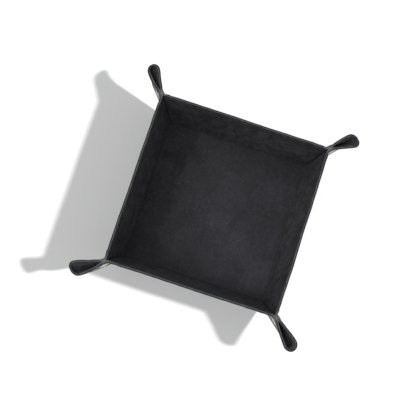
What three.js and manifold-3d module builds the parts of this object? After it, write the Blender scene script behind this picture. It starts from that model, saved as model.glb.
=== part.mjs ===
// Folding dice tray: a square leather sheet with a soft lining on its upper face. The four
// corners are pinched and snapped, so that the four sides stand up, and they open out flat.
// Millimetres, +Z up. The origin is the middle of the underside.
import * as THREE from 'three';
import { mergeVertices } from 'three/addons/utils/BufferGeometryUtils.js';
import Module from 'manifold-3d';

const wasm = await Module();
wasm.setup();

// The open sheet
const SHEET = 260; // side of the square, laid flat
const CORNER_RADIUS = 20; // rounded corners of the square
const FLOOR = 150; // side of the tray floor, between the four floor folds
const PINCH = 42; // from the square's corner to the snapped fold, along the edge
const LEATHER = 1.1; // thickness of the outer leather
const GLUE = 0.2; // glue line between the leather and the lining
const LINING = 0.9; // thickness of the lining
const FOLD_GAP = 0.15; // each panel stops this far short of a fold
const HALF_GAP = 0.5; // from a snapped corner's middle plane to each half's lining

// The ears, where the corner opens again beyond its snap
const EAR_OPEN = 4.6; // how far each half bows away from the middle plane
const EAR_START = 4; // the bow starts here, counted along the edge from the snapped fold
const EAR_DEPTH = 0.35; // and at this share of the way from the floor's corner to the edge
const SNAP_MARGIN = 6; // round a snap's cap, the bow leaves this much flat
const SNAP_REACH = 15; // and is full this far from the cap's edge
const EAR_CLEARANCE = 0.5; // each half stops this far short of the diagonal fold
const EAR_COLUMNS = 8; // each half is a fan with this many columns
const EAR_ROWS = [0.05, 0.32, 0.5, 0.66, 0.8]; // and rows at these shares of the way out from its hub

// Stitching, a line of thread that runs round the sheet's edge
const STITCH_INSET = 4; // from the edge
const THREAD_WIDTH = 0.6;
const THREAD_SINK = 0.15; // the pulled thread lies this deep in the lining
const THREAD_RISE = 0.25; // and stands this far out of it
const GROOVE_MARGIN = 0.2; // the groove in the lining is this much larger than the thread

// Snap fasteners, one in each corner
const SNAP_FROM_FOLD = 6.6; // snap centre, from the snapped fold
const SNAP_FROM_EDGE = 9.5; // snap centre, from the edge
const CAP_RADIUS = 5.4;
const CAP_DOME = 1.7; // height of the cap's dome
const CAP_SHOULDER = new THREE.Vector2(3.24, 1.445); // radius and height where the dome turns down
const CAP_EDGE = 0.5; // height of the cap's straight edge, under the dome
const PLATE_RADIUS = 4.59;
const PLATE_HEIGHT = 0.8;
const PLATE_FLAT = 3.44; // radius of the back plate's flat middle
const PLATE_EDGE = 0.3;
const RING_RADIUS = 4.3; // socket and stud, seen from above
const RING_TOP = 3.87; // the socket's radius at its top
const BARREL_RADIUS = 1.4; // the cap's rivet, through the leather
const POST_RADIUS = 0.8; // the back plate's rivet, inside the stud
const SOCKET_BORE = 2.3;
const SOCKET_BASE = 0.6;
const SOCKET_PLAY = 0.225; // from the socket's top to the stud's flange
const STUD_RADIUS = 1.9;
const STUD_FLANGE = 0.7;
const SNAP_FIT = 0.15; // play round each piece of a snap
const RIVET_HOLE_PLAY = 0.25;
const LATHE_STEPS = 16;

// Worked out from the above
const THICKNESS = LEATHER + GLUE + LINING;
const HALF_FLOOR = FLOOR / 2;
const WALL = (SHEET - FLOOR) / 2; // slant height of a wall
const FLARE = SHEET / 2 - PINCH - HALF_FLOOR; // how far a wall leans out at the rim
const WALL_ANGLE = Math.acos(FLARE / WALL); // from flat up to standing
const FOLD_SLOPE = FLARE / WALL; // the snapped fold's run along the wall, for each mm up it
const FOLD_DIRECTION = new THREE.Vector3(FOLD_SLOPE, 1, 0).normalize();
const FLAP_ANGLE = Math.acos(Math.sin(WALL_ANGLE) / Math.SQRT2); // from the wall to its flap
const FOLD_START = HALF_FLOOR + THICKNESS * Math.sin(WALL_ANGLE)
  - Math.SQRT2 * (HALF_GAP + THICKNESS); // the snapped fold at the wall's foot
const SNAP_SPACE = 2 * (GLUE + LINING + HALF_GAP); // between the two halves' leathers
const STUD_TOP = SNAP_SPACE - SOCKET_BASE - 2 * SNAP_FIT;
const POST_TOP = STUD_TOP - 2 * SNAP_FIT;

const leatherMaterial = new THREE.MeshStandardMaterial({ color: 0x1c1d20, roughness: 0.45 });
const liningMaterial = new THREE.MeshStandardMaterial({ color: 0x232327, roughness: 0.95 });
const threadMaterial = new THREE.MeshStandardMaterial({ color: 0x2b2c2f, roughness: 0.8 });
const snapMaterial = new THREE.MeshStandardMaterial({
  color: 0x6c6a66,
  roughness: 0.35,
  metalness: 1,
});

// ---- helpers ----

function smooth(value, start, end) {
  return THREE.MathUtils.smoothstep(value, start, end);
}

// A geometry with only shared positions, closed, for a mesh or a boolean.
function closed(geometry) {
  const bare = geometry.clone();
  if (!bare.attributes.normal) return bare;
  bare.deleteAttribute('normal');
  bare.deleteAttribute('uv');
  return mergeVertices(bare, 1e-4);
}

function toSolid(geometry) {
  const merged = closed(geometry);
  return new wasm.Manifold(new wasm.Mesh({
    numProp: 3,
    vertProperties: new Float32Array(merged.attributes.position.array),
    triVerts: new Uint32Array(merged.index.array),
  }));
}

function toGeometry(solid) {
  const mesh = solid.getMesh();
  const geometry = new THREE.BufferGeometry();
  geometry.setAttribute('position', new THREE.BufferAttribute(mesh.vertProperties, 3));
  geometry.setIndex(new THREE.BufferAttribute(mesh.triVerts, 1));
  return geometry;
}

function cut(geometry, ...tools) {
  let solid = toSolid(geometry);
  for (const tool of tools) solid = solid.subtract(toSolid(tool));
  return toGeometry(solid);
}

// The same solid on the other side of the plane x = 0, with its faces still pointing out.
function mirrored(geometry) {
  const copy = closed(geometry);
  copy.scale(-1, 1, 1);
  const index = copy.index;
  for (let i = 0; i < index.count; i += 3) {
    const second = index.getX(i + 1);
    index.setX(i + 1, index.getX(i + 2));
    index.setX(i + 2, second);
  }
  return copy;
}

// A closed slab. Its two faces are the same grid of triangles, at the heights low and high: a
// point for each pair of us and vs, at place(u, v) = { x, y, drop }. Four strips join their edges.
function slab(us, vs, low, high, place) {
  const vertices = [];
  const triangles = [];
  const across = us.length;
  const layer = across * vs.length;
  const columns = across - 1;
  const rows = vs.length - 1;
  for (const level of [low, high]) {
    for (const v of vs) {
      for (const u of us) {
        const at = place(u, v);
        vertices.push(at.x, at.y, level - at.drop);
      }
    }
  }
  const quad = (a, b, c, d) => triangles.push(a, b, c, a, c, d);
  const cell = (row, column) => row * across + column;
  for (let row = 0; row < rows; row += 1) {
    for (let column = 0; column < columns; column += 1) {
      const a = cell(row, column);
      const b = cell(row, column + 1);
      const c = cell(row + 1, column + 1);
      const d = cell(row + 1, column);
      quad(a + layer, b + layer, c + layer, d + layer);
      triangles.push(a, c, b, a, d, c);
    }
  }
  const strip = (from, to) => quad(from, to, to + layer, from + layer);
  for (let column = 0; column < columns; column += 1) {
    strip(cell(0, column), cell(0, column + 1));
    strip(cell(rows, column + 1), cell(rows, column));
  }
  for (let row = 0; row < rows; row += 1) {
    strip(cell(row + 1, 0), cell(row, 0));
    strip(cell(row, columns), cell(row + 1, columns));
  }
  const geometry = new THREE.BufferGeometry();
  geometry.setAttribute('position', new THREE.Float32BufferAttribute(vertices, 3));
  geometry.setIndex(triangles);
  return geometry;
}

function named(name, geometry, material) {
  const mesh = new THREE.Mesh(geometry, material);
  mesh.name = name;
  return mesh;
}

// ---- floor: the square between the four floor folds ----

function floorPanel(bottom, thickness) {
  const side = FLOOR - 2 * FOLD_GAP;
  const geometry = new THREE.BoxGeometry(side, side, thickness);
  geometry.translate(0, 0, bottom + thickness / 2);
  return geometry;
}

// ---- walls, in the frame of their floor fold: x along it, y up the wall, z = 0 on the lining ----

const LEATHER_LOW = -THICKNESS;
const LEATHER_HIGH = -THICKNESS + LEATHER;
const LINING_LOW = -LINING;

// Half the wall's width at the height y, less the gap at the snapped fold.
function wallHalfWidth(y) {
  return FOLD_START + FOLD_SLOPE * y - FOLD_GAP / FOLD_DIRECTION.y;
}

function wallPanel(low, high, bottom = FOLD_GAP, top = WALL, overrun = 0) {
  return slab([-1, 1], [bottom, top], low, high, (side, y) => (
    { x: side * (wallHalfWidth(y) + overrun), y, drop: 0 }
  ));
}

function wallStitch(margin) {
  const middle = WALL - STITCH_INSET;
  const half = THREAD_WIDTH / 2 + margin;
  const low = -THREAD_SINK - margin;
  return wallPanel(low, THREAD_RISE + margin, middle - half, middle + half, margin);
}

// ---- flaps: the two halves of each corner, in the same frame, before they are turned ----

// The fan's hub, where the edges along the snapped fold and along the diagonal would meet.
function flapHub() {
  const foldStart = FOLD_START + FOLD_GAP / FOLD_DIRECTION.y;
  const diagonalStart = HALF_FLOOR - Math.SQRT2 * EAR_CLEARANCE;
  const y = (foldStart - diagonalStart) / (1 - FOLD_SLOPE);
  return new THREE.Vector2(diagonalStart + y, y);
}

const HUB = flapHub();
const REACH = WALL - HUB.y;
const STITCH_SHARE = 1 - STITCH_INSET / REACH;
const FLAP_SHARES = [...EAR_ROWS, STITCH_SHARE, 1];
const SNAPPED_CORNER = new THREE.Vector2(
  FOLD_START + FOLD_GAP / FOLD_DIRECTION.y + FOLD_SLOPE * WALL,
  WALL,
);
const ARC_CENTRE = new THREE.Vector2(SHEET / 2 - CORNER_RADIUS, WALL - CORNER_RADIUS);
const ARC_ANGLE = Math.PI / 4 - EAR_CLEARANCE / CORNER_RADIUS;
const STRAIGHT = ARC_CENTRE.x - SNAPPED_CORNER.x; // straight stretch of the flap's edge
const EDGE = STRAIGHT + CORNER_RADIUS * ARC_ANGLE; // the flap's edge, with the arc
const SNAP_CENTRE = new THREE.Vector2(
  FOLD_START + FOLD_SLOPE * (WALL - SNAP_FROM_EDGE) + SNAP_FROM_FOLD,
  WALL - SNAP_FROM_EDGE,
);

// A point of the sheet's edge, the given way along it from the snapped fold.
function edgePoint(way) {
  if (way <= STRAIGHT) return new THREE.Vector2(SNAPPED_CORNER.x + way, WALL);
  const angle = Math.PI / 2 - (way - STRAIGHT) / CORNER_RADIUS;
  const outward = new THREE.Vector2(Math.cos(angle), Math.sin(angle));
  return outward.multiplyScalar(CORNER_RADIUS).add(ARC_CENTRE);
}

// How far the ear bows out: none at the snap and on the diagonal, most where the arc starts.
function earBow(way, v, point) {
  const arcShare = Math.max(0, way - STRAIGHT) / (EDGE - STRAIGHT);
  const rounded = Math.sqrt(Math.max(0, 1 - arcShare * arcShare));
  const along = smooth(way, EAR_START, STRAIGHT) * rounded;
  const fromSnap = point.distanceTo(SNAP_CENTRE);
  const clearOfSnap = smooth(fromSnap, CAP_RADIUS + SNAP_MARGIN, CAP_RADIUS + SNAP_REACH);
  return EAR_OPEN * along * smooth(v, EAR_DEPTH, 1) * clearOfSnap;
}

// The part of the flap between the given shares of the way from its hub to the sheet's edge.
function flapPanel(low, high, shares, overrun = 0) {
  const ways = [];
  for (let column = 0; column <= EAR_COLUMNS; column += 1) {
    ways.push((column * EDGE) / EAR_COLUMNS);
  }
  if (overrun > 0) {
    ways.unshift(-overrun);
    ways.push(EDGE + overrun);
  }
  return slab(ways, shares, low, high, (way, v) => {
    const point = edgePoint(way).sub(HUB).multiplyScalar(v).add(HUB);
    return { x: point.x, y: point.y, drop: earBow(way, v, point) };
  });
}

function flapStitch(margin) {
  const half = (THREAD_WIDTH / 2 + margin) / REACH;
  const shares = [STITCH_SHARE - half, STITCH_SHARE, STITCH_SHARE + half];
  return flapPanel(-THREAD_SINK - margin, THREAD_RISE + margin, shares, margin);
}

// A round tool for a hole, straight through a flap at its snap.
function snapHole(radius) {
  const hole = new THREE.CylinderGeometry(radius, radius, 4 * THICKNESS, LATHE_STEPS);
  hole.rotateX(Math.PI / 2);
  hole.translate(SNAP_CENTRE.x, SNAP_CENTRE.y, -THICKNESS / 2);
  return hole;
}

// ---- snap fasteners: turned pieces on the flap's normal, height 0 on the leather's inner face ----

function turned(points) {
  const profile = points.map(([radius, height]) => new THREE.Vector2(radius, height));
  const geometry = new THREE.LatheGeometry(profile, LATHE_STEPS);
  geometry.rotateX(Math.PI / 2);
  geometry.translate(SNAP_CENTRE.x, SNAP_CENTRE.y, LEATHER_HIGH);
  return geometry;
}

const OUTER_FACE = -LEATHER - SNAP_FIT; // where the caps meet the leather's outer face

function capShape() {
  return turned([
    [0, OUTER_FACE - CAP_DOME],
    [CAP_SHOULDER.x, OUTER_FACE - CAP_SHOULDER.y],
    [CAP_RADIUS, OUTER_FACE - CAP_EDGE],
    [CAP_RADIUS, OUTER_FACE],
    [BARREL_RADIUS, OUTER_FACE],
    [BARREL_RADIUS, SOCKET_BASE],
    [0, SOCKET_BASE],
  ]);
}

function socketShape() {
  const top = SNAP_SPACE - SNAP_FIT - STUD_FLANGE - SOCKET_PLAY;
  const hole = BARREL_RADIUS + SNAP_FIT;
  return turned([
    [hole, SNAP_FIT],
    [RING_RADIUS, SNAP_FIT],
    [RING_TOP, top],
    [SOCKET_BORE, top],
    [SOCKET_BORE, SOCKET_BASE + SNAP_FIT],
    [hole, SOCKET_BASE + SNAP_FIT],
    [hole, SNAP_FIT],
  ]);
}

function backPlateShape() {
  return turned([
    [0, OUTER_FACE - PLATE_HEIGHT],
    [PLATE_FLAT, OUTER_FACE - PLATE_HEIGHT],
    [PLATE_RADIUS, OUTER_FACE - PLATE_EDGE],
    [PLATE_RADIUS, OUTER_FACE],
    [POST_RADIUS, OUTER_FACE],
    [POST_RADIUS, POST_TOP],
    [0, POST_TOP],
  ]);
}

function studShape() {
  const hole = POST_RADIUS + SNAP_FIT;
  return turned([
    [hole, SNAP_FIT],
    [RING_RADIUS, SNAP_FIT],
    [RING_RADIUS, SNAP_FIT + STUD_FLANGE],
    [STUD_RADIUS, SNAP_FIT + STUD_FLANGE],
    [STUD_RADIUS, STUD_TOP],
    [hole, STUD_TOP],
    [hole, SNAP_FIT],
  ]);
}

// ---- assembly ----

const FLAT_LINING_TOP = THICKNESS; // height of the lining above the table
const flapLeather = flapPanel(LEATHER_LOW, LEATHER_HIGH, FLAP_SHARES);
const shapes = {
  wallLeather: wallPanel(LEATHER_LOW, LEATHER_HIGH),
  wallLining: cut(wallPanel(LINING_LOW, 0), wallStitch(GROOVE_MARGIN)),
  wallStitch: wallStitch(0),
  capLeather: cut(flapLeather, snapHole(BARREL_RADIUS + RIVET_HOLE_PLAY)),
  plateLeather: cut(flapLeather, snapHole(POST_RADIUS + RIVET_HOLE_PLAY)),
  flapLining: cut(
    flapPanel(LINING_LOW, 0, FLAP_SHARES),
    flapStitch(GROOVE_MARGIN),
    snapHole(RING_RADIUS + RIVET_HOLE_PLAY),
  ),
  flapStitch: flapStitch(0),
};

// One half of a corner, turned down about the snapped fold. side is +1 at the wall's right-hand
// end, seen from outside the tray, and -1 at its left-hand end.
function flap(name, side, corner) {
  const onFold = new THREE.Vector3(side * FOLD_START, 0, -THICKNESS);
  const axis = new THREE.Vector3(side * FOLD_DIRECTION.x, FOLD_DIRECTION.y, 0);
  const hasCap = side > 0;
  const group = new THREE.Group();
  group.name = `${name}_flap`;
  group.position.copy(onFold);
  group.quaternion.setFromAxisAngle(axis, side * FLAP_ANGLE);
  const add = (meshName, shape, material) => {
    const geometry = side > 0 ? closed(shape) : mirrored(shape);
    geometry.translate(-onFold.x, -onFold.y, -onFold.z);
    group.add(named(meshName, geometry, material));
  };
  add(`leather_flap_${name}`, hasCap ? shapes.capLeather : shapes.plateLeather, leatherMaterial);
  add(`lining_flap_${name}`, shapes.flapLining, liningMaterial);
  add(`stitching_flap_${name}`, shapes.flapStitch, threadMaterial);
  if (hasCap) {
    add(`snap_cap_${corner}`, capShape(), snapMaterial);
    add(`snap_socket_${corner}`, socketShape(), snapMaterial);
  } else {
    add(`snap_back_plate_${corner}`, backPlateShape(), snapMaterial);
    add(`snap_stud_${corner}`, studShape(), snapMaterial);
  }
  return group;
}

// One wall with the flap halves at its two ends, folded up about its floor fold.
function wall(name, positiveEnd, negativeEnd) {
  const group = new THREE.Group();
  group.name = `${name}_wall`;
  group.position.set(0, HALF_FLOOR, FLAT_LINING_TOP);
  group.rotation.x = WALL_ANGLE;
  group.add(
    named(`leather_wall_${name}`, closed(shapes.wallLeather), leatherMaterial),
    named(`lining_wall_${name}`, closed(shapes.wallLining), liningMaterial),
    named(`stitching_wall_${name}`, closed(shapes.wallStitch), threadMaterial),
    flap(`${name}_${positiveEnd}`, 1, `${name}_${positiveEnd}`),
    flap(`${name}_${negativeEnd}`, -1, `${negativeEnd}_${name}`),
  );
  return group;
}

const tray = new THREE.Group();
tray.add(
  named('leather_floor', floorPanel(0, LEATHER), leatherMaterial),
  named('lining_floor', floorPanel(LEATHER + GLUE, LINING), liningMaterial),
);

// Clockwise from above, each wall meets the next one at its +x end.
const WALLS = ['back', 'right', 'front', 'left'];
WALLS.forEach((name, turn) => {
  const quarter = new THREE.Group();
  quarter.rotation.z = (-turn * Math.PI) / 2;
  quarter.add(wall(name, WALLS[(turn + 1) % 4], WALLS[(turn + 3) % 4]));
  tray.add(quarter);
});

export default tray;
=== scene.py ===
import math

import bpy
import numpy as np
from mathutils import Matrix, Vector


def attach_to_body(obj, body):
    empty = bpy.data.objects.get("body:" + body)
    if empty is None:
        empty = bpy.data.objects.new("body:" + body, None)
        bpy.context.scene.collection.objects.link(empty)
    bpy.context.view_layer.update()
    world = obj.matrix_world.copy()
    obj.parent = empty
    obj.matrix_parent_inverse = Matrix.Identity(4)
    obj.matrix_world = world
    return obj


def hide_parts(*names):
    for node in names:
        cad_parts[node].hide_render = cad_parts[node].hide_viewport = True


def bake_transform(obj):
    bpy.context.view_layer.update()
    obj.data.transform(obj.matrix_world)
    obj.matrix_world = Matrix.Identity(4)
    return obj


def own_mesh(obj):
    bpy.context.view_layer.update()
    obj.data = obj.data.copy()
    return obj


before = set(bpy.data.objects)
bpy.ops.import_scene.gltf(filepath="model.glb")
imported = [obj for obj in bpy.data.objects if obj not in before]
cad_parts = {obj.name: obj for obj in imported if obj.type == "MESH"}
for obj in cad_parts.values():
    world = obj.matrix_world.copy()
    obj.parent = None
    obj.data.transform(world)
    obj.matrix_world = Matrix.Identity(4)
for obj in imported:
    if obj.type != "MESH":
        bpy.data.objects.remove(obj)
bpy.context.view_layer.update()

# A folding dice tray: leather outside, a napped lining inside, four pinched and snapped corners.
# Everything soft is worked out on the flat sheet, in millimetres from its middle, and one map
# carries the flat sheet to its standing shape, so that all the pieces meet.

MM = 0.001

# ---- measures that the CAD has too, in millimetres ----
SHEET = 260.0
CORNER_RADIUS = 20.0
FLOOR = 150.0
PINCH = 42.0
LEATHER = 1.1
GLUE = 0.2
LINING = 0.9
HALF_GAP = 0.5
STITCH_INSET = 4.0
SNAP_FROM_FOLD = 6.6
SNAP_FROM_EDGE = 9.5
CAP_RADIUS = 5.4
CAP_DOME = 1.7
RING_RADIUS = 4.3
BARREL_RADIUS = 1.4
POST_RADIUS = 0.8
SOCKET_BORE = 2.3
SOCKET_BASE = 0.6
STUD_RADIUS = 1.9
STUD_FLANGE = 0.7
SNAP_FIT = 0.15

THICKNESS = LEATHER + GLUE + LINING
HALF = FLOOR / 2
WALL = (SHEET - FLOOR) / 2
RIM = HALF + WALL
FLARE = RIM - PINCH - HALF
LEAN = math.acos(FLARE / WALL)
SLOPE = FLARE / WALL
FOLD = np.array([SLOPE, 1.0]) / math.hypot(SLOPE, 1.0)
TURN = math.acos(math.sin(LEAN) / math.sqrt(2))
FOLD_START = HALF + THICKNESS * math.sin(LEAN) - math.sqrt(2) * (HALF_GAP + THICKNESS)
SNAP_SPACE = 2 * (GLUE + LINING + HALF_GAP)
ARC = RIM - CORNER_RADIUS
WALLS = ["back", "right", "front", "left"]

# ---- the soft shape ----
DEPTH = GLUE / 2 + LINING  # the mapped surface is the glue line, this far under the lining's face
LINING_TOP, LINING_UNDER = DEPTH, GLUE / 2
LEATHER_TOP, LEATHER_UNDER = -GLUE / 2, -GLUE / 2 - LEATHER
FIN = HALF_GAP + DEPTH  # from a corner's middle plane to the glue line of each half
INNER_ROUND = 2.2  # radius of the floor fold, on the lining
OUTER_ROUND = 2.0  # radius of the snapped fold, on the leather
INNER_REACH = INNER_ROUND * math.tan(LEAN / 2)
OUTER_REACH = OUTER_ROUND * math.tan(TURN / 2)
RIDGE = 2.4  # half the sheet's way round the diagonal fold, where the corner is pressed flat
SQUEEZE = 0.42  # the rim is pressed together this much at each pinch
FLOOR_CUT = HALF - 3.5  # the floor piece ends here, and the walls begin
EAR_CUT = 4.5  # an ear begins this far past its snapped fold
HUB = HALF + (FOLD_START - HALF + EAR_CUT) / (1 - SLOPE)

EAR_FROM, EAR_WIDEST = 49.5, 66.3  # an ear opens between these places along its diagonal
EAR_END = math.sqrt(2) * WALL - (math.sqrt(2) - 1) * CORNER_RADIUS
EAR_RISE = math.atan2(WALL * math.sin(LEAN), math.sqrt(2) * FLARE) - (
    math.atan2(1, SLOPE) - math.pi / 4
)  # how steeply the diagonal climbs

# The ears at back right, back left, front right and front left are a little different.
EAR_OPEN = np.array([4.9, 3.9, 4.4, 5.6])  # how far a half stands away from the middle
EAR_SWAY = np.array([-3.2, 4.7, -0.8, -7.2])  # how far the tip leans to the back or front wall
EAR_LONG = np.array([-2.2, -2.2, 1.0, -1.7])  # how much longer or shorter than cut it looks
EAR_CREASE = np.array([0.75, 0.6, 0.85, 0.8])  # how deep the folds inside it are


# ---- camera, lights and floor ----
LENS = 85.5
CAMERA_PLACE = (-0.0100, -0.1490, 1.0285)
CAMERA_LOOKS = (0.0015, 0.1440, -0.9895)
CAMERA_UP = (-0.3138, 0.9396, 0.1363)
GROUND_HALF = 9  # half the studio floor's side, in metres
GROUND_BELOW = 0.0002  # how far under the tray that floor lies, in metres
KEY_STRENGTH = 3.3
FILL_STRENGTH = 1.20
OVERHEAD_STRENGTH = 1.25
CORNER_STRENGTH = 1.2
WORLD_COLOUR = (0.985, 0.99, 1.0, 1)
WORLD_STRENGTH = 0.30
WORLD_SEEN = 1.0  # the world's strength where the camera sees it


def camera():
    data = bpy.data.cameras.new("camera")
    data.sensor_width = 36.0
    data.lens = LENS
    made = bpy.data.objects.new("camera", data)
    bpy.context.scene.collection.objects.link(made)
    place = Vector(CAMERA_PLACE)
    back = -Vector(CAMERA_LOOKS).normalized()
    up = Vector(CAMERA_UP)
    right = up.cross(back).normalized()
    turned = Matrix((right, back.cross(right), back)).transposed()
    made.matrix_world = Matrix.Translation(place) @ turned.to_4x4()
    data.clip_end = 20.0
    bpy.context.scene.camera = made


def towards(azimuth, height):
    """A direction, from degrees round from +X and degrees above the floor."""
    azimuth, height = math.radians(azimuth), math.radians(height)
    flat = math.cos(height)
    return Vector((flat * math.cos(azimuth), flat * math.sin(azimuth), math.sin(height)))


def sun(name, energy, softness, direction, floor, on_floor):
    """A distant light that shines either on the floor alone or on everything but the floor."""
    data = bpy.data.lights.new(name, "SUN")
    data.energy = energy
    data.angle = math.radians(softness)
    made = bpy.data.objects.new(name, data)
    made.rotation_mode = "QUATERNION"
    made.rotation_quaternion = direction.to_track_quat("Z", "Y")
    bpy.context.scene.collection.objects.link(made)
    shone_on = bpy.data.collections.new(f"shone_on_by_{name}")
    shone_on.objects.link(floor)
    made.light_linking.receiver_collection = shone_on
    if not on_floor:
        shone_on.collection_objects[0].light_linking.link_state = "EXCLUDE"
    return data


def lights(floor):
    """The key throws the tray's one shadow on the floor, and a shadowless light fills the floor.
    The tray has a wide light overhead, and one over its front left corner. The world is white
    where the camera sees it, and dimmer as a light."""
    sun("key", KEY_STRENGTH, 3.5, towards(12, 39.5), floor, True)
    sun("floor_fill", FILL_STRENGTH, 10, towards(0, 90), floor, True).use_shadow = False
    sun("over_tray", OVERHEAD_STRENGTH, 170, towards(0, 90), floor, False)
    sun("front_left", CORNER_STRENGTH, 50, towards(208, 56), floor, False)
    world = bpy.data.worlds.new("studio")
    world.use_nodes = True
    background = world.node_tree.nodes["Background"]
    background.inputs["Color"].default_value = WORLD_COLOUR
    path = world.node_tree.nodes.new("ShaderNodeLightPath")
    strength = world.node_tree.nodes.new("ShaderNodeMapRange")
    strength.inputs["To Min"].default_value = WORLD_STRENGTH
    strength.inputs["To Max"].default_value = WORLD_SEEN
    world.node_tree.links.new(path.outputs["Is Camera Ray"], strength.inputs["Value"])
    world.node_tree.links.new(strength.outputs["Result"], background.inputs["Strength"])
    bpy.context.scene.world = world
    bpy.context.scene.view_settings.view_transform = "Standard"


# ---- the map from the flat sheet to the standing tray ----

def smooth(value, start, end):
    t = np.clip((value - start) / (end - start), 0.0, 1.0)
    return t * t * (3.0 - 2.0 * t)


def softer_min(a, b, width):
    t = np.clip(0.5 + 0.5 * (b - a) / width, 0.0, 1.0)
    return b * (1 - t) + a * t - width * t * (1 - t)


def waves(x, y, length, seed, count=9):
    """A smooth random field of about unit size, with bumps about length across."""
    draw = np.random.default_rng(seed)
    total = np.zeros(np.broadcast(x, y).shape)
    for _ in range(count):
        angle, phase = draw.uniform(0, 2 * math.pi, 2)
        step = 2 * math.pi / (length * draw.uniform(0.7, 1.5))
        total = total + np.cos(step * (x * math.cos(angle) + y * math.sin(angle)) + phase)
    return total / math.sqrt(count / 2)


def edge_distance(x, y):
    """How far inside the sheet's outline a place is, for x and y at least 0."""
    straight = RIM - np.maximum(x, y)
    arc = CORNER_RADIUS - np.hypot(x - ARC, y - ARC)
    return np.where((x > ARC) & (y > ARC), arc, straight)


def outward(x, y):
    """The flat direction out over the nearest part of the outline, for any signs of x and y."""
    a, b = np.abs(x), np.abs(y)
    round_part = (a > ARC) & (b > ARC)
    u = np.where(round_part, a - ARC, np.where(a > b, 1.0, 0.0))
    v = np.where(round_part, b - ARC, np.where(a > b, 0.0, 1.0))
    size = np.hypot(u, v)
    return np.sign(x) * u / size, np.sign(y) * v / size


def corner_depth(q):
    """From the diagonal to the sheet's outline, square to the diagonal, at q along it."""
    middle = (ARC - HALF) * math.sqrt(2)
    inside = np.maximum(CORNER_RADIUS ** 2 - (q - middle) ** 2, 1e-6)
    straight = (RIM - HALF) * math.sqrt(2) - q
    return np.where(q > middle + CORNER_RADIUS / math.sqrt(2), np.sqrt(inside), straight)


def standing(x, y, corner, other_half):
    """The glue line's place for 0 <= x <= y: the back wall's right half, and half of an ear."""
    up = y - HALF
    start = HALF + (FOLD_START - HALF) * smooth(up, 0, 8)
    across = (x - start) * FOLD[1] - up * FOLD[0]
    along = (x - start) * FOLD[0] + up * FOLD[1]
    turn = TURN * np.clip((across + OUTER_REACH) / (2 * OUTER_REACH), 0, 1) * smooth(up, -1.5, 1)
    radius = OUTER_ROUND + THICKNESS - DEPTH
    beyond = np.maximum(across - OUTER_REACH, 0)
    bent = np.clip(across + OUTER_REACH, 0, 2 * OUTER_REACH) * (turn == 0)
    side = (
        np.minimum(across, -OUTER_REACH) + radius * np.sin(turn) + beyond * np.cos(turn) + bent
    )
    out = -THICKNESS - OUTER_ROUND + radius * np.cos(turn) - beyond * np.sin(turn)
    x1 = start + side * FOLD[1] + along * FOLD[0]
    up1 = along * FOLD[1] - side * FOLD[0]

    lean = LEAN * np.clip((up1 + INNER_REACH) / (2 * INNER_REACH), 0, 1)
    radius = INNER_ROUND - out
    beyond = np.maximum(up1 - INNER_REACH, 0)
    y1 = HALF + np.minimum(up1, -INNER_REACH) + radius * np.sin(lean) + beyond * np.cos(lean)
    z1 = THICKNESS + INNER_ROUND - radius * np.cos(lean) + beyond * np.sin(lean)

    # Away from the corner's middle plane, and out along it
    p = (y - x) / math.sqrt(2)
    q = (x + y - 2 * HALF) / math.sqrt(2)
    away = np.maximum((y1 - x1) / math.sqrt(2), 0.05)
    reach = (x1 + y1) / math.sqrt(2)
    depth = corner_depth(q)
    edge = edge_distance(x, y)

    to_widest = np.clip((q - EAR_FROM) / (EAR_WIDEST - EAR_FROM), 0, 1)
    grown = EAR_OPEN[corner] * (1 - (1 - to_widest) ** 1.35)
    to_end = np.clip((q - EAR_WIDEST) / (EAR_END - EAR_WIDEST), 0, 0.9995)
    widest = softer_min((FIN + grown) * np.sqrt(1 - to_end ** 2), 0.85 * depth, 0.5)
    straight_sides = smooth(q, 52, EAR_WIDEST)
    share = np.clip(p / np.maximum(depth, 1e-3), 0, 1.2)
    opened = (widest - FIN) * np.where(
        widest > FIN, straight_sides + (1 - straight_sides) * share, 1.0
    )
    away = away + opened * smooth(across, 0, 3) * smooth(q, 44, 49)
    at_rim = (1 - smooth(edge, 1, 6)) * (1 - smooth(across, 5, 11))
    at_mouth = smooth(up, 1, 6) * (1 - smooth(across, 0.5, 2.5))
    away = away - SQUEEZE * np.maximum(at_rim, at_mouth) * smooth(across, -4, 0)

    from_pinch = np.hypot(x - (RIM - PINCH), RIM - y)
    angle = np.arctan2(RIM - y, x - (RIM - PINCH))
    odd = np.where(other_half, 1.0, -1.0)
    crease = EAR_CREASE[corner] * np.cos((15 + 1.5 * odd) * angle + corner * 1.3 + odd)
    crease = crease * smooth(from_pinch, 5, 20) * smooth(across, 4, 10) * smooth(edge, 0, 5)
    away = away + crease * smooth(q, 46, 54)

    in_ear = smooth(q, 46, 60)
    ridge = RIDGE * smooth(q, 0, 8) * (1 - in_ear) + 0.9 * depth * in_ear
    t = np.clip(p / np.maximum(ridge, 0.02), 0, 1)
    away = away * np.sqrt(np.maximum(1 - (1 - t) ** 2, 0))
    way_out = np.clip((q - 47) / 21, 0, 1.2) ** 1.4
    away = away + np.where(other_half, -1.0, 1.0) * EAR_SWAY[corner] * way_out
    # a half that stands away from the middle takes its outline down with it
    room = np.maximum(0.81 * depth ** 2 - widest ** 2, 0.09 * depth ** 2)
    sink = (depth - np.sqrt(room)) * smooth(q, 49, 58) * share
    longer = EAR_LONG[corner] * way_out
    z1 = z1 - sink * math.cos(EAR_RISE) + longer * math.tan(EAR_RISE)
    reach = reach + sink * math.sin(EAR_RISE) + longer
    return (reach - away) / math.sqrt(2), (reach + away) / math.sqrt(2), z1


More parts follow.
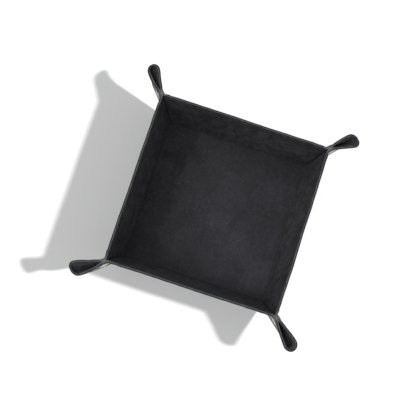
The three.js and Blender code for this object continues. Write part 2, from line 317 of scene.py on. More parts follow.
def sheet_place(x, y):
    """The glue line's place in the tray, for any place of the flat sheet."""
    a, b = np.abs(x), np.abs(y)
    swap = a > b
    corner = (x < 0).astype(int) + 2 * (y < 0).astype(int)
    u, v, z = standing(np.minimum(a, b), np.maximum(a, b), corner, swap)
    one = np.where(x < 0, -1.0, 1.0)
    two = np.where(y < 0, -1.0, 1.0)
    return np.stack([np.where(swap, v, u) * one, np.where(swap, u, v) * two, z], axis=-1)


def swell(x, y):
    """How far both layers wave in and out, mostly in the walls."""
    a, b = np.abs(x), np.abs(y)
    up = np.maximum(a, b) - HALF
    in_wall = smooth(up, 4, 24)
    wave = 0.34 * waves(x, y, 62, 11) + 0.12 * waves(x, y, 21, 12)
    wave = wave * (1 - 0.65 * smooth(up, 34, WALL))
    pinch = np.hypot(np.minimum(a, b) - (RIM - PINCH), np.maximum(a, b) - (RIM - SNAP_FROM_EDGE))
    angle = np.arctan2(np.maximum(a, b) - RIM + SNAP_FROM_EDGE, np.minimum(a, b) - RIM + PINCH)
    pull = 0.16 * np.cos(13 * angle + waves(x, y, 30, 13)) * smooth(pinch, 4, 12)
    pull = pull * (1 - smooth(pinch, 14, 34))
    ear = smooth(np.minimum(a, b) - FOLD_START - SLOPE * up, -1.5, 2)
    return in_wall * (wave + pull) * (1 - ear)


def place_at(x, y, height):
    """A point of the sheet, this far above its glue line, towards the lining."""
    step = 0.15
    along_x = sheet_place(x + step, y) - sheet_place(x - step, y)
    along_y = sheet_place(x, y + step) - sheet_place(x, y - step)
    normal = np.cross(along_x, along_y)
    normal = normal / np.maximum(np.linalg.norm(normal, axis=-1, keepdims=True), 1e-9)
    return sheet_place(x, y) + normal * (height + swell(x, y))[..., None]


def stitch_dent(x, y):
    off = edge_distance(np.abs(x), np.abs(y)) - STITCH_INSET
    return 0.13 * np.exp(-((off / 0.6) ** 2)) + 0.05 * np.exp(-((off / 2.0) ** 2))


def snap_dent(x, y):
    """1 under a snap's ring, 0 clear of it."""
    a, b = np.abs(x), np.abs(y)
    up = RIM - SNAP_FROM_EDGE - HALF
    centre = FOLD_START + SLOPE * up + SNAP_FROM_FOLD
    off = np.hypot(np.minimum(a, b) - centre, np.maximum(a, b) - HALF - up)
    return 1 - smooth(off, RING_RADIUS, RING_RADIUS + 0.9)


def lining_top(x, y):
    """The lining's face: soft rucks beside the floor folds, and pulled in at the thread."""
    a, b = np.abs(x), np.abs(y)
    up = np.maximum(a, b) - HALF
    inside = np.minimum(a, b) < HALF + 2
    ruck = 0.22 * np.exp(-(((up - 4.6 - 0.5 * waves(x, y, 40, 21)) / 1.3) ** 2))
    ruck = ruck * (0.7 + 0.5 * waves(x, y, 34, 22))
    second = 0.22 * np.exp(-(((up + 5.2 - 0.8 * waves(x, y, 46, 23)) / 1.5) ** 2))
    second = second * np.maximum(waves(x, y, 38, 24), 0)
    soft = 0.07 * waves(x, y, 17, 25) + 0.05 * waves(x, y, 7, 26)
    top = LINING_TOP + np.where(inside, ruck + second, 0.0) + soft * (up < WALL - 1)
    top = top - stitch_dent(x, y) - snap_dent(x, y) * (LINING - 0.1)
    return top


def leather_under(x, y):
    """The leather's face. It lies flat on the table under the floor."""
    up = np.maximum(np.abs(x), np.abs(y)) - HALF
    soft = 0.035 * waves(x, y, 12, 31) * smooth(up, 3, 10)
    return LEATHER_UNDER + soft + stitch_dent(x, y) * 0.8


# ---- turning the back wall's pieces into those of the other walls ----

def turned(x, y, turn, side=1):
    """Flat places of the back wall, mirrored for side -1, carried to another wall, clockwise."""
    x = x * side
    for _ in range(turn):
        x, y = y, -x
    return x, y


# ---- meshes ----

def new_mesh(name, points, faces, uvs=None, rims=None, smooth_angle=52):
    """An object from points in millimetres. Its uvs are millimetres over 100: flat places, or
    along and round a stitch."""
    corner = points[[f[0] for f in faces]]
    volume = 0.0
    for k in range(1, max(len(f) for f in faces) - 1):
        second = points[[f[min(k, len(f) - 2)] for f in faces]]
        third = points[[f[min(k + 1, len(f) - 1)] for f in faces]]
        volume += float((corner * np.cross(second, third)).sum())
    if volume < 0:
        faces = [tuple(reversed(f)) for f in faces]
    mesh = bpy.data.meshes.new(name)
    mesh.from_pydata((points * MM).tolist(), [], faces)
    if uvs is not None:
        layer = mesh.uv_layers.new(name="sheet")
        loops = np.zeros(len(mesh.loops), int)
        mesh.loops.foreach_get("vertex_index", loops)
        layer.data.foreach_set("uv", (uvs[loops] / 100).ravel())
    if rims is not None:
        mesh.polygons.foreach_set("material_index", np.array(rims, int))
    mesh.polygons.foreach_set("use_smooth", np.ones(len(mesh.polygons), bool))
    mesh.set_sharp_from_angle(angle=math.radians(smooth_angle))
    mesh.validate()
    made = bpy.data.objects.new(name, mesh)
    bpy.context.scene.collection.objects.link(made)
    return made


def shell(name, x, y, low, high, materials, rim, bare):
    """A closed layer over a grid of flat places. The last row is the sheet's outline if rim is
    more than 0: there the layer ends this far out, in a rounded edge. Of the materials the faces
    have the first, that edge the second but for its first and last rows, as many as bare says,
    and the ends of the rows, where the sheet is cut at a fold, the third."""
    xs, ys, heights = [x], [y], [low(x, y)]
    arc_rows = 6 if rim > 0 else 0
    if rim > 0:
        ox, oy = outward(x[-1], y[-1])
        bottom, top = low(x[-1], y[-1]), high(x[-1], y[-1])
        for k in range(1, arc_rows + 1):
            angle = math.pi * k / (arc_rows + 1)
            xs.append((x[-1] + ox * rim * math.sin(angle))[None])
            ys.append((y[-1] + oy * rim * math.sin(angle))[None])
            heights.append(((top + bottom) / 2 - (top - bottom) / 2 * math.cos(angle))[None])
    xs.append(x[::-1])
    ys.append(y[::-1])
    heights.append(high(x, y)[::-1])
    xs, ys, heights = np.concatenate(xs), np.concatenate(ys), np.concatenate(heights)
    points = place_at(xs, ys, heights).reshape(-1, 3)
    flat = np.stack([xs, ys], axis=-1).reshape(-1, 2)
    rows, columns = xs.shape
    at = np.arange(rows * columns).reshape(rows, columns)
    nxt = np.roll(at, -1, axis=0)
    quads = np.stack([at[:, :-1], at[:, 1:], nxt[:, 1:], nxt[:, :-1]], axis=-1)
    index = np.zeros(quads.shape[:2], int)
    if rim > 0:
        index[x.shape[0] - 1 + bare[0]:x.shape[0] + arc_rows - bare[1]] = 1
    faces = quads.reshape(-1, 4)
    marks = index.reshape(-1)
    ends = []
    for column, flip in ((0, 1), (columns - 1, -1)):
        line = at[:, column]
        for k in range(rows // 2 - 1):
            ends.append((line[k], line[k + 1], line[rows - 2 - k], line[rows - 1 - k])[::flip])
    faces = np.concatenate([faces, np.array(ends)])
    marks = np.concatenate([marks, np.full(len(ends), 2)])
    faces, marks, points, flat = welded(faces, marks, points, flat)
    made = new_mesh(name, points, faces, flat, marks)
    for material in materials:
        made.data.materials.append(material)
    return made


def welded(faces, marks, points, flat):
    """Joins points at the same place, and drops the faces that this leaves without area."""
    _, first, same = np.unique(
        np.round(points, 4), axis=0, return_index=True, return_inverse=True
    )
    same = same.reshape(-1)
    kept, kept_marks = [], []
    for face, mark in zip(same[faces], marks):
        ring = [v for i, v in enumerate(face) if v != face[i - 1]]
        if len(set(ring)) == len(ring) and len(ring) > 2:
            kept.append(tuple(int(v) for v in ring))
            kept_marks.append(mark)
    return kept, kept_marks, points[first], flat[first]


# ---- materials ----

class Graph:
    """A material and its nodes."""

    def __init__(self, name):
        self.material = bpy.data.materials.new(name)
        self.material.use_nodes = True
        self.tree = self.material.node_tree
        self.shader = self.tree.nodes["Principled BSDF"]

    def node(self, kind, settings=None, **inputs):
        made = self.tree.nodes.new("ShaderNode" + kind)
        for key, value in (settings or {}).items():
            setattr(made, key, value)
        for key, value in inputs.items():
            self.set(made, key, value)
        return made

    def set(self, node, key, value):
        """Sets or links an input, by its name, or as i0, i1 and so on by its place."""
        by_place = key[0] == "i" and key[1:].isdigit()
        socket = node.inputs[int(key[1:]) if by_place else key.replace("_", " ")]
        if isinstance(value, bpy.types.NodeSocket):
            self.tree.links.new(value, socket)
        else:
            socket.default_value = value

    def flat(self, scale=(1, 1, 1), turn=0.0):
        """Flat sheet coordinates in millimetres times scale, turned in the sheet."""
        uv = self.node("UVMap", {"uv_map": "sheet"})
        return self.node(
            "Mapping", Vector=uv.outputs["UV"], Scale=tuple(100 * s for s in scale),
            Rotation=(0, 0, turn),
        ).outputs["Vector"]

    def noise(self, vector, size, detail=2.0, rough=0.5, distortion=0.0):
        return self.node(
            "TexNoise", Vector=vector, Scale=1 / size, Detail=detail, Roughness=rough,
            Distortion=distortion,
        ).outputs["Fac"]

    def ramp(self, value, stops):
        made = self.node("ValToRGB", Fac=value)
        line = made.color_ramp
        while len(line.elements) < len(stops):
            line.elements.new(0.5)
        for element, (at, colour) in zip(line.elements, stops):
            element.position = at
            element.color = (*colour, 1) if hasattr(colour, "__len__") else (colour,) * 3 + (1,)
        return made.outputs["Color"]

    def maths(self, operation, a, b=0.5, c=0.5):
        made = self.node("Math", {"operation": operation}, i0=a, i1=b)
        if operation == "MULTIPLY_ADD":
            self.set(made, "i2", c)
        return made.outputs["Value"]

    def mix(self, share, a, b, blend="MIX"):
        made = self.node("MixRGB", {"blend_type": blend}, Fac=share, Color1=a, Color2=b)
        return made.outputs["Color"]

    def bump(self, height, strength, distance, normal=None):
        made = self.node("Bump", Height=height, Strength=strength, Distance=distance * MM)
        if normal is not None:
            self.set(made, "Normal", normal)
        return made.outputs["Normal"]

    def finish(self, **inputs):
        for key, value in inputs.items():
            self.set(self.shader, key, value)
        return self.material


# Where the nap was brushed another way, and where light and shade are painted in: the lining is
# painted lighter towards the right and darker towards the left. Each gives its middle and half
# its size in mm, the share of that over which it fades, and how much lighter it is
NAP_AND_PAINTED_LIGHT = [
    ((-64, -20), (19, 54), 0.35, -0.065),
    ((-60, 41), (16, 9), 0.75, -0.12),
    ((-50, 33), (9, 13), 0.8, -0.09),
    ((-42, 52), (26, 8), 0.8, -0.05),
    ((-61, -58), (18, 22), 0.6, -0.035),
    ((8, 14), (15, 36), 0.2, 0.035),
    ((34, -5), (82, 78), 0.35, 0.060),
    ((40, -40), (48, 44), 0.6, 0.050),
    ((64, -52), (15, 22), 0.7, 0.060),
    ((-48, 100), (36, 32), 0.8, -0.06),
    ((40, 104), (44, 22), 0.8, 0.065),
    ((104, -10), (14, 74), 0.6, 0.050),
    ((-64, -98), (9, 22), 0.6, -0.09),
    ((-46, -92), (6, 17), 0.7, -0.07),
    ((30, -104), (20, 10), 0.8, -0.05),
    ((-104, -58), (14, 15), 0.7, -0.06),
]


def nap_and_painted_light_patches(g, place):
    """Light and dark patches with soft outlines, summed: nap tone and painted light and shade."""
    total = None
    for (x, y), (wide, high), fade, amount in NAP_AND_PAINTED_LIGHT:
        scaled = g.node(
            "Mapping", {"vector_type": "POINT"}, Vector=place, Scale=(1 / wide, 1 / high, 0),
            Location=(-x / wide, -y / high, 0),
        ).outputs["Vector"]
        squared = g.node("VectorMath", {"operation": "MULTIPLY"}, i0=scaled, i1=scaled)
        off = g.node(
            "VectorMath", {"operation": "LENGTH"}, i0=squared.outputs["Vector"]
        ).outputs["Value"]
        part = g.ramp(off, [((1 - fade) ** 2, amount + 0.5), (1.0, 0.5)])
        part = g.maths("SUBTRACT", part, 0.5)
        total = part if total is None else g.maths("ADD", total, part)
    return total


def lining_material():
    g = Graph("napped_lining")
    flat = g.flat()
    drift = 26  # the warp carries a place at most half this far, in millimetres
    bend = g.node("TexNoise", Vector=flat, Scale=1 / 16, Detail=4, Roughness=0.6).outputs["Color"]
    warped = g.node(
        "VectorMath", {"operation": "MULTIPLY_ADD"}, i0=bend, i1=(drift, drift, 0), i2=flat
    ).outputs["Vector"]
    warped = g.node(
        "VectorMath", {"operation": "SUBTRACT"}, i0=warped, i1=(drift / 2, drift / 2, 0)
    ).outputs["Vector"]
    cells = g.node("TexVoronoi", Vector=warped, Scale=1 / 30)
    brushed = g.node("SeparateColor", Color=cells.outputs["Color"]).outputs[0]
    cloud = g.noise(warped, 24, 3, 0.6)
    streaks = g.noise(g.flat((1, 0.22, 1), 0.35), 9, 4, 0.65, 0.4)
    mottle = g.noise(flat, 4.5, 4, 0.65)
    grain = g.noise(flat, 1.1, 3, 0.75)
    fibre = g.noise(g.flat((1, 0.35, 1), 0.9), 0.4, 3, 0.7)
    # nap tone, with painted light and shade from the patches
    tone = nap_and_painted_light_patches(g, warped)
    for part, amount in (
        (brushed, 0.05), (cloud, 0.16), (streaks, 0.12),
        (mottle, 0.20), (grain, 0.52), (fibre, 0.28),
    ):
        tone = g.maths("ADD", tone, g.maths("MULTIPLY", g.maths("SUBTRACT", part, 0.5), amount))
    far, near = folded_place(g, flat)
    from_fold = g.maths("ABSOLUTE", g.maths("SUBTRACT", far, HALF))
    in_wall = g.ramp(g.maths("DIVIDE", far, 100.0), [(0.76, 0.0), (0.80, 1.0)])
    in_ear = g.ramp(g.maths("DIVIDE", near, 100.0), [(0.86, 0.0), (0.93, 1.0)])
    blotch = g.noise(warped, 8, 3, 0.6)
    wall_tone = g.maths("MULTIPLY", g.maths("SUBTRACT", blotch, 0.5), 0.70)
    tone = g.maths("MULTIPLY_ADD", in_wall, wall_tone, tone)
    # painted light and shade in the ears: their inside is painted lighter, with darker streaks
    # along the folds that fan out from the pinch
    along, inwards = from_pinch(g, flat)
    ray = g.maths("ARCTAN2", inwards, along)
    at = g.node("SeparateXYZ", Vector=flat)
    aside = g.maths("SUBTRACT", at.outputs["X"], at.outputs["Y"])
    fan = g.node(
        "CombineXYZ", X=g.maths("MULTIPLY", ray, 3.4), Y=g.maths("MULTIPLY", far, 0.03),
        Z=g.maths("MULTIPLY", aside, 0.04),
    ).outputs["Vector"]
    rays = g.noise(fan, 0.55, 3, 0.6)
    painted_ear_light_and_shade = g.maths("MULTIPLY_ADD", g.maths("SUBTRACT", rays, 0.47), 2.6, 0.06)
    painted_ear_light_and_shade = g.maths("MAXIMUM", g.maths("MINIMUM", painted_ear_light_and_shade, 0.10), -0.22)
    tone = g.maths("MULTIPLY_ADD", in_ear, painted_ear_light_and_shade, tone)
    # painted shade: the lining is painted darker along the floor folds, where shade falls
    uneven = g.maths("MULTIPLY_ADD", mottle, 7.0, -2.0)
    crease = g.maths("DIVIDE", from_fold, uneven)
    painted_fold_shade = g.ramp(crease, [(0.0, 0.68), (0.55, 0.85), (1.0, 1.0)])
    colour = g.ramp(g.maths("ADD", tone, 0.5), [
        (0.15, (0.0070, 0.0069, 0.0074)),
        (0.38, (0.0185, 0.0181, 0.0199)),
        (0.5, (0.0300, 0.0291, 0.0330)),
        (0.62, (0.0440, 0.0428, 0.0497)),
        (0.85, (0.0800, 0.0785, 0.0900)),
    ])
    colour = g.mix(1.0, colour, painted_fold_shade, "MULTIPLY")
    specks = g.node("TexVoronoi", Vector=flat, Scale=1 / 2.2)
    small = g.maths("LESS_THAN", specks.outputs["Distance"], 0.15)
    chosen = g.node("SeparateColor", Color=specks.outputs["Color"]).outputs[0]
    lint = g.maths("MULTIPLY", small, g.maths("GREATER_THAN", chosen, 0.94))
    colour = g.mix(lint, colour, (0.11, 0.11, 0.108, 1))
    rough = g.bump(fibre, 0.4, 0.3)
    rough = g.bump(grain, 0.5, 0.5, rough)
    soft = g.bump(mottle, 0.35, 0.8, rough)
    return g.finish(
        Base_Color=colour, Roughness=0.95, Normal=soft, Sheen_Weight=0.05,
        Sheen_Roughness=0.4, Sheen_Tint=(0.62, 0.64, 0.72, 1), Specular_IOR_Level=0.10,
    )


def folded_place(g, flat):
    """The larger and the smaller of a flat place's distances from the sheet's middle lines."""
    at = g.node("SeparateXYZ", Vector=flat)
    x, y = (g.maths("ABSOLUTE", at.outputs[axis]) for axis in ("X", "Y"))
    return g.maths("MAXIMUM", x, y), g.maths("MINIMUM", x, y)


def from_pinch(g, flat):
    """How far a flat place is from the nearest pinch, along the sheet and in from its edge."""
    far, near = folded_place(g, flat)
    return g.maths("SUBTRACT", near, RIM - PINCH), g.maths("SUBTRACT", RIM, far)


def painted_pinch_highlight(g, flat):
    """1 where the pinched edges get a painted highlight, 0 a short way along them."""
    along, _ = from_pinch(g, flat)
    off = g.maths("DIVIDE", g.maths("ABSOLUTE", along), 6.0)
    return g.ramp(off, [(0.15, 0.8), (0.45, 0.35), (1.0, 0.0)])


def cut_lining_material():
    """The lining's cut edge, paler than its face: partly its own raw colour and partly a painted
    highlight where the rim catches light.
    """
    g = Graph("cut_lining")
    flat = g.flat()
    fuzz = g.noise(flat, 0.5, 3, 0.7)
    tone = g.mix(0.4, g.noise(flat, 6, 3, 0.6), fuzz)
    # the cut's own paler colour, with a painted highlight along the rim
    colour = g.ramp(tone, [(0.32, (0.050, 0.052, 0.056)), (0.68, (0.165, 0.170, 0.180))])
    # painted highlight: the cut edge is painted paler at each pinch, where it catches light
    colour = g.mix(painted_pinch_highlight(g, flat), colour, (0.24, 0.247, 0.26, 1))
    return g.finish(
        Base_Color=colour, Roughness=0.8, Normal=g.bump(fuzz, 0.5, 0.3), Specular_IOR_Level=0.3,
    )


def leather_material(name, edge=False):
    g = Graph(name)
    flat = g.flat()
    warp = g.noise(flat, 2.5, 2)
    wrinkle = g.noise(g.flat((1, 0.6, 1), 0.3), 6.5, 5, 0.62, 1.4)
    cells = g.node(
        "TexVoronoi", {"feature": "SMOOTH_F1"}, Vector=flat, Scale=1 / 0.85, Smoothness=0.35
    ).outputs["Distance"]
    pebbles = g.mix(0.3, cells, g.noise(flat, 0.5, 3, 0.6))
    broad = g.noise(flat, 28, 3, 0.6)
    colour = g.ramp(g.mix(0.5, broad, warp), [
        (0.3, (0.0045, 0.0045, 0.0051)),
        (0.7, (0.0115, 0.0113, 0.0122)),
    ])
    colour = g.mix(0.4, colour, g.ramp(cells, [(0.2, 1.0), (0.75, 0.4)]), "MULTIPLY")
    gloss = g.ramp(g.mix(0.5, broad, pebbles), [(0.3, 0.34), (0.75, 0.56)])
    if edge:
        colour = g.ramp(warp, [(0.3, (0.010, 0.010, 0.011)), (0.7, (0.026, 0.026, 0.029))])
        # painted highlight: the painted edge is made paler at each pinch, where it catches light
        colour = g.mix(painted_pinch_highlight(g, flat), colour, (0.12, 0.123, 0.13, 1))
        gloss = g.ramp(warp, [(0.3, 0.20), (0.7, 0.36)])
    normal = g.bump(pebbles, 0.12 if edge else 0.45, 0.45)
    normal = g.bump(warp, 0.25, 0.5, normal)
    normal = g.bump(wrinkle, 0.15 if edge else 0.5, 1.1, normal)
    return g.finish(
        Base_Color=colour, Roughness=gloss, Normal=normal, Specular_IOR_Level=0.30,
        Coat_Weight=0.08, Coat_Roughness=0.30,
    )


def thread_material():
    g = Graph("waxed_thread")
    place = g.flat()
    twist = g.node(
        "TexWave", {"wave_type": "BANDS", "bands_direction": "DIAGONAL"}, Vector=place,
        Scale=1.1, Distortion=0.6, Detail=1.0,
    ).outputs["Fac"]
    colour = g.ramp(twist, [(0.1, (0.012, 0.012, 0.013)), (0.9, (0.045, 0.045, 0.048))])
    return g.finish(
        Base_Color=colour, Roughness=0.46, Normal=g.bump(twist, 0.5, 0.12),
        Specular_IOR_Level=0.4, Sheen_Weight=0.1,
    )


def metal_material():
    g = Graph("antique_nickel")
    place = g.node("TexCoord").outputs["Object"]
    tarnish = g.noise(place, 0.0042, 4, 0.6)
    drawn_out = g.node("Mapping", Vector=place, Scale=(1, 1, 0.12), Rotation=(0.6, 0.4, 0.2))
    scratches = g.noise(drawn_out.outputs["Vector"], 0.00028, 3, 0.7)
    colour = g.ramp(tarnish, [(0.3, (0.30, 0.29, 0.275)), (0.7, (0.56, 0.55, 0.53))])
    gloss = g.ramp(g.mix(0.5, tarnish, scratches), [(0.3, 0.18), (0.7, 0.40)])
    return g.finish(
        Base_Color=colour, Metallic=1.0, Roughness=gloss, Normal=g.bump(scratches, 0.12, 0.04),
    )


def floor_material():
    g = Graph("studio_floor")
    place = g.node("TexCoord").outputs["Object"]
    tone = g.ramp(g.noise(place, 0.6, 2), [(0.3, 0.80), (0.7, 0.82)])
    return g.finish(Base_Color=tone, Roughness=0.9, Specular_IOR_Level=0.1)


camera()
ground = bpy.data.meshes.new("studio_floor")
square = [(-1, -1), (1, -1), (1, 1), (-1, 1)]
ground.from_pydata([(a * GROUND_HALF, b * GROUND_HALF, 0) for a, b in square], [], [(0, 1, 2, 3)])
ground.materials.append(floor_material())
floor = bpy.data.objects.new("studio_floor", ground)
floor.location.z = -GROUND_BELOW
bpy.context.scene.collection.objects.link(floor)
lights(floor)

LINING_LOOK = lining_material()
LEATHER_LOOK = leather_material("outer_leather")
EDGE_LOOK = leather_material("painted_edge", edge=True)
CUT_LOOK = cut_lining_material()
THREAD_LOOK = thread_material()
METAL_LOOK = metal_material()

# For each layer: its lower and upper face, its looks (face, outline edge, cut ends), how far the
# outline edge rounds out, and how many of that edge's first and last rows look like the face.
LAYERS = {
    "lining": (
        lambda x, y: np.full(x.shape, LINING_UNDER), lining_top,
        [LINING_LOOK, CUT_LOOK, LINING_LOOK], 0.32, (0, 1),
    ),
    "leather": (
        leather_under, lambda x, y: np.full(x.shape, LEATHER_TOP),
        [LEATHER_LOOK, EDGE_LOOK, LINING_LOOK], 0.45, (1, 0),
    ),
}

# ---- grids of flat places, for the back wall ----
RIM_INSET = 0.45  # the last row, where the rounded edge begins
NEAR_RIM = np.array([6.0, 5.0, 4.5, 4.2, 4.0, 3.8, 3.5, 3.0, 2.2, 1.4, 0.8, RIM_INSET])
ROWS = np.concatenate([
    np.array([FLOOR_CUT, 72.1, 72.7, 73.3, 73.9]),
    np.arange(74.5, 80.0, 0.55),
    np.arange(80.5, RIM - 7, 1.9),
    RIM - NEAR_RIM,
])
STRIP_FROM = 74.5  # the end strips begin this far from the sheet's middle
FLOOR_LINES = 84
WALL_LINES = 101
STRIP_LINES = 17
EAR_LINES = 46
EAR_ROWS = 30  # from the hub to the line 6 mm inside the outline


def fold_x(y):
    return FOLD_START + SLOPE * (y - HALF)


def wall_end(y):
    """Half the width of a wall's own piece. Under the strips it takes in the floor's corner."""
    beside = 1 + 5 * smooth(y - HALF, 0, 25)
    back_in = smooth(y, STRIP_FROM, STRIP_FROM + 2.6)
    return np.where(y < STRIP_FROM, y, y * (1 - back_in) + (fold_x(y) - beside) * back_in)


def strip_end(y):
    return np.minimum(fold_x(y) + EAR_CUT, y)


def floor_grid():
    line = np.linspace(-FLOOR_CUT, FLOOR_CUT, FLOOR_LINES)
    return np.meshgrid(line, line)


def wall_grid():
    share = np.linspace(-1, 1, WALL_LINES)
    y = np.repeat(ROWS[:, None], len(share), axis=1)
    return share * wall_end(y), y


def strip_grid():
    rows = ROWS[ROWS > STRIP_FROM - 0.01]
    share = np.linspace(0, 1, STRIP_LINES)
    y = np.repeat(rows[:, None], len(share), axis=1)
    return wall_end(y) + share * (strip_end(y) - wall_end(y)), y


def ear_grid():
    """Rays from the hub to a line 6 mm inside the outline, then lines that follow the outline."""
    start = strip_end(RIM)
    straight = ARC - start
    whole = straight + CORNER_RADIUS * math.pi / 4
    way = whole * (1 - (1 - np.linspace(0, 1, EAR_LINES)) ** 1.5)
    angle = np.maximum(way - straight, 0) / CORNER_RADIUS
    out = np.stack([np.sin(angle), np.cos(angle)])
    edge = np.stack([start + np.minimum(way, straight), np.full(len(way), RIM)])
    edge = np.where(way > straight, ARC + CORNER_RADIUS * out, edge)
    slide = SLOPE * np.clip(1 - way / straight, 0, 1)

    def inside(depth):
        return edge - depth * (out + np.stack([slide, 0 * slide]))

    first = inside(NEAR_RIM[0])
    hub = np.array([[HUB], [HUB]])
    rows = [hub + (first - hub) * v for v in np.linspace(0, 1, EAR_ROWS)]
    rows += [inside(depth) for depth in NEAR_RIM[1:]]
    return np.stack([r[0] for r in rows]), np.stack([r[1] for r in rows])


# ---- the layers ----


def layer(kind, where, grid, turn, side, nodes, rim=True):
    low, high, materials, edge, bare = LAYERS[kind]
    x, y = turned(*grid, turn, side)
    made = shell(f"{kind}_{where}", x, y, low, high, materials, edge if rim else 0.0, bare)
    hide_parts(*nodes)
    return made


def flap_name(turn, side):
    return f"{WALLS[turn]}_{WALLS[(turn + side) % 4]}"


def flatten(piece):
    """Gives an ear its own copy of its mesh."""
    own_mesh(piece)


def attach(piece, part, turn, side):
    """Bakes a wall's or an end strip's place into its mesh, and makes an ear move with its flap's
    body.
    """
    if part == "wall":
        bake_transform(piece)
    elif part == "strip":
        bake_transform(piece)
    else:
        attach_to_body(piece, f"{flap_name(turn, side)}_flap")
        flatten(piece)


def build_layers():
    grid = floor_grid()
    for kind in LAYERS:
        made = layer(kind, "floor", grid, 0, 1, [f"{kind}_floor"], rim=False)
        made.name = f"soft_{kind}_floor"
        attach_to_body(made, "floor")
    for turn, wall in enumerate(WALLS):
        for kind in LAYERS:
            node = f"{kind}_wall_{wall}"
            made = layer(kind, f"{wall}_side", wall_grid(), turn, 1, [node])
            attach(made, "wall", turn, 1)
            for side in (1, -1):
                flap = flap_name(turn, side)
                node = f"{kind}_flap_{flap}"
                strip = layer(kind, f"{flap}_bend", strip_grid(), turn, side, [node])
                attach(strip, "strip", turn, side)
                ear = layer(kind, f"{flap}_ear", ear_grid(), turn, side, [node])
                attach(ear, "ear", turn, side)
                if kind == "lining":
                    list(ear_grid())


# ---- stitching: single stitches through both layers, 4 mm inside the outline ----
STITCH_LONG = 2.0
STITCH_HALF_WIDE = 0.27
STITCH_SLANT = math.radians(9)
STITCH_COUNT = 48  # in each half of a side, from its middle to the corner's diagonal


def stitch_centres():
    """Where the stitches of half a side lie, and which way they run."""
    radius = CORNER_RADIUS - STITCH_INSET
    whole = ARC + radius * math.pi / 4
    way = (np.arange(STITCH_COUNT) + 0.5) * whole / STITCH_COUNT
    angle = np.maximum(way - ARC, 0) / radius
    x = np.where(way > ARC, ARC + radius * np.sin(angle), way)
    y = np.where(way > ARC, ARC + radius * np.cos(angle), RIM - STITCH_INSET)
    return x, y, -angle


def stitches(name, chosen, turn, side, nodes):
    """One object with the chosen stitches on both faces of the sheet."""
    x, y, angle = (v[chosen] for v in stitch_centres())
    draw = np.random.default_rng(100 + 10 * turn + side + len(name))
    rings, sides = 7, 8
    along = np.linspace(-1, 1, rings)
    round_angle = np.arange(sides) * 2 * math.pi / sides
    thick = np.sqrt(np.maximum(1 - 0.75 * along ** 4, 0))
    points, uvs, faces = [], [], []
    for face, up in ((lining_top, 1), (leather_under, -1)):
        slant = angle + STITCH_SLANT * up + draw.normal(0, 0.03, len(x))
        long = STITCH_LONG / 2 * (1 + draw.normal(0, 0.04, len(x)))
        for k in range(len(x)):
            t = np.array([math.cos(slant[k]), math.sin(slant[k])])
            n = np.array([-t[1], t[0]])
            lie = along[:, None] * long[k]
            wide = STITCH_HALF_WIDE * thick[:, None] * np.cos(round_angle)
            high = STITCH_HALF_WIDE * thick[:, None] * np.sin(round_angle)
            u = x[k] + t[0] * lie + n[0] * wide
            v = y[k] + t[1] * lie + n[1] * wide
            base = np.full(u.shape, face(*turned(x[k:k + 1], y[k:k + 1], turn, side))[0])
            sunk = 0.02 - 0.30 * np.abs(along[:, None]) ** 3
            height = base + up * (high + sunk)
            flat = turned(u, v, turn, side)
            first = sum(len(p) for p in points)
            points.append(place_at(*flat, height).reshape(-1, 3))
            twist = np.broadcast_to(round_angle * 0.25, wide.shape)
            uvs.append(np.stack([lie + 0 * wide, twist], -1).reshape(-1, 2))
            for r in range(rings - 1):
                for s in range(sides):
                    a, b = first + r * sides + s, first + r * sides + (s + 1) % sides
                    faces.append((a, b, b + sides, a + sides))
            faces.append(tuple(first + s for s in reversed(range(sides))))
            faces.append(tuple(first + (rings - 1) * sides + s for s in range(sides)))
    made = new_mesh(name, np.concatenate(points), faces, np.concatenate(uvs), smooth_angle=70)
    made.data.materials.append(THREAD_LOOK)
    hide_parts(*nodes)
    return made


def joined(first, second):
    """Both meshes in one object, the first one."""
    with bpy.context.temp_override(active_object=first, selected_editable_objects=[first, second]):
        bpy.ops.object.join()
    return first


def build_stitching():
    x, y, _ = stitch_centres()
    line = RIM - STITCH_INSET
    in_wall = x < wall_end(line)
    in_ear = x > strip_end(line)
    for turn, wall in enumerate(WALLS):
        node = f"stitching_wall_{wall}"
        halves = [
            stitches(f"stitches_{wall}_side_{side}", in_wall, turn, side, [node])
            for side in (1, -1)
        ]
        made = joined(*halves)
        made.name = f"stitches_{wall}_side"
        attach(made, "wall", turn, 1)
        for side in (1, -1):
            flap = flap_name(turn, side)
            node = f"stitching_flap_{flap}"
            strip = stitches(f"stitches_{flap}_bend", ~in_wall & ~in_ear, turn, side, [node])
            attach(strip, "strip", turn, side)
            ear = stitches(f"stitches_{flap}_ear", in_ear, turn, side, [node])
            attach(ear, "ear", turn, side)


# ---- snaps: turned metal pieces, height 0 on the leather's inner face ----
LATHE_STEPS = 56
OUTER_FACE = -LEATHER


def flap_matrix(turn, side):
    """From a flap's frame before it was folded (x along the wall's fold, y up) to the tray."""
    axis = Vector((side * FOLD[0], FOLD[1], 0))
    fold = Matrix.Translation(Vector((side * FOLD_START, 0, -THICKNESS)))
    turned_down = fold @ Matrix.Rotation(side * TURN, 4, axis) @ fold.inverted()
    stood_up = Matrix.Translation(Vector((0, HALF, THICKNESS))) @ Matrix.Rotation(LEAN, 4, "X")
    return Matrix.Rotation(-turn * math.pi / 2, 4, "Z") @ stood_up @ turned_down


def rounded(profile, radius=0.12, steps=3):
    """The profile with its corners rounded."""
    points = [np.array(profile[0], float)]
    for before, at, after in zip(profile, profile[1:], profile[2:]):
        before, at, after = (np.array(p, float) for p in (before, at, after))
        one, two = before - at, after - at
        cut_one = min(radius, np.linalg.norm(one) / 2.2)
        cut_two = min(radius, np.linalg.norm(two) / 2.2)
        start = at + one / np.linalg.norm(one) * cut_one
        end = at + two / np.linalg.norm(two) * cut_two
        for k in range(steps + 1):
            t = k / steps
            points.append(start * (1 - t) ** 2 + at * 2 * t * (1 - t) + end * t * t)
    points.append(np.array(profile[-1], float))
    return points


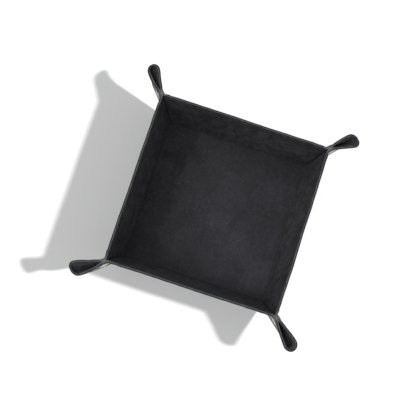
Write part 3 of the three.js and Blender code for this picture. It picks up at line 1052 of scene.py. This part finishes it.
def lathe(name, profile, turn, side, node):
    """A closed turned piece. The profile's ends are on its axis, or it is a closed ring."""
    ring = profile[0][0] > 1e-6
    line = np.array(rounded(profile))
    if ring:
        line = line[:-1]
    angle = np.arange(LATHE_STEPS) * 2 * math.pi / LATHE_STEPS
    up = RIM - SNAP_FROM_EDGE - HALF
    x = side * (FOLD_START + SLOPE * up + SNAP_FROM_FOLD)
    at = np.stack([
        x + line[:, :1] * np.cos(angle), up + line[:, :1] * np.sin(angle),
        -THICKNESS + LEATHER + np.repeat(line[:, 1:], LATHE_STEPS, axis=1),
    ], axis=-1)
    matrix = np.array(flap_matrix(turn, side))
    points = at.reshape(-1, 3) @ matrix[:3, :3].T + matrix[:3, 3]
    rows = len(line)
    index = np.arange(rows * LATHE_STEPS).reshape(rows, LATHE_STEPS)
    nxt = np.roll(index, -1, axis=0) if ring else index[1:]
    cur = index if ring else index[:-1]
    quads = np.stack([cur, np.roll(cur, -1, 1), np.roll(nxt, -1, 1), nxt], -1).reshape(-1, 4)
    zero = np.zeros(len(quads), int)
    faces, _, points, _ = welded(quads, zero, points, points[:, :2])
    made = new_mesh(name, points, faces, smooth_angle=35)
    made.data.materials.append(METAL_LOOK)
    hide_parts(node)
    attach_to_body(made, f"{flap_name(turn, side)}_flap")
    return made


def cap_profile():
    inner = CAP_RADIUS - 0.75
    dome = [
        (inner * s, OUTER_FACE - 0.42 - (CAP_DOME - 0.42) * math.sqrt(1 - 0.985 * s * s))
        for s in np.linspace(0, 1, 12)
    ]
    return dome + [
        (CAP_RADIUS - 0.55, OUTER_FACE - 0.50), (CAP_RADIUS - 0.25, OUTER_FACE - 0.62),
        (CAP_RADIUS, OUTER_FACE - 0.34), (CAP_RADIUS - 0.05, OUTER_FACE + 0.04),
        (BARREL_RADIUS, OUTER_FACE + 0.04), (BARREL_RADIUS, SOCKET_BASE), (0, SOCKET_BASE),
    ]


def plate_profile():
    radius = CAP_RADIUS * 0.85
    post_end = SNAP_SPACE - SOCKET_BASE - 4 * SNAP_FIT
    return [
        (0, OUTER_FACE - 0.30), (0.9, OUTER_FACE - 0.34), (1.25, OUTER_FACE - 0.80),
        (radius * 0.62, OUTER_FACE - 0.84), (radius * 0.80, OUTER_FACE - 0.72),
        (radius, OUTER_FACE - 0.30), (radius - 0.04, OUTER_FACE + 0.04),
        (POST_RADIUS, OUTER_FACE + 0.04), (POST_RADIUS, post_end), (0, post_end),
    ]


def socket_profile():
    top = SNAP_SPACE - STUD_FLANGE - 2.5 * SNAP_FIT
    hole = BARREL_RADIUS + SNAP_FIT
    return [
        (hole, SNAP_FIT), (RING_RADIUS, SNAP_FIT), (RING_RADIUS, 0.75),
        (RING_RADIUS * 0.93, top - 0.2), (RING_RADIUS * 0.84, top),
        (SOCKET_BORE + 0.35, top), (SOCKET_BORE, top - 0.3),
        (SOCKET_BORE + 0.1, SOCKET_BASE + SNAP_FIT), (hole, SOCKET_BASE + SNAP_FIT),
        (hole, SNAP_FIT),
    ]


def stud_profile():
    top = SNAP_SPACE - SOCKET_BASE - 2 * SNAP_FIT
    hole = POST_RADIUS + SNAP_FIT
    flange = SNAP_FIT + STUD_FLANGE
    return [
        (hole, SNAP_FIT), (RING_RADIUS, SNAP_FIT), (RING_RADIUS, flange - 0.15),
        (RING_RADIUS - 0.3, flange), (STUD_RADIUS - 0.15, flange), (STUD_RADIUS, top - 0.35),
        (STUD_RADIUS - 0.35, top), (hole, top), (hole, SNAP_FIT),
    ]


def build_snaps():
    for turn, wall in enumerate(WALLS):
        corner = flap_name(turn, 1)
        lathe(f"cap_{corner}", cap_profile(), turn, 1, f"snap_cap_{corner}")
        lathe(f"socket_{corner}", socket_profile(), turn, 1, f"snap_socket_{corner}")
        corner = f"{WALLS[turn - 1]}_{wall}"
        lathe(f"back_plate_{corner}", plate_profile(), turn, -1, f"snap_back_plate_{corner}")
        lathe(f"stud_{corner}", stud_profile(), turn, -1, f"snap_stud_{corner}")


build_layers()
build_stitching()
build_snaps()
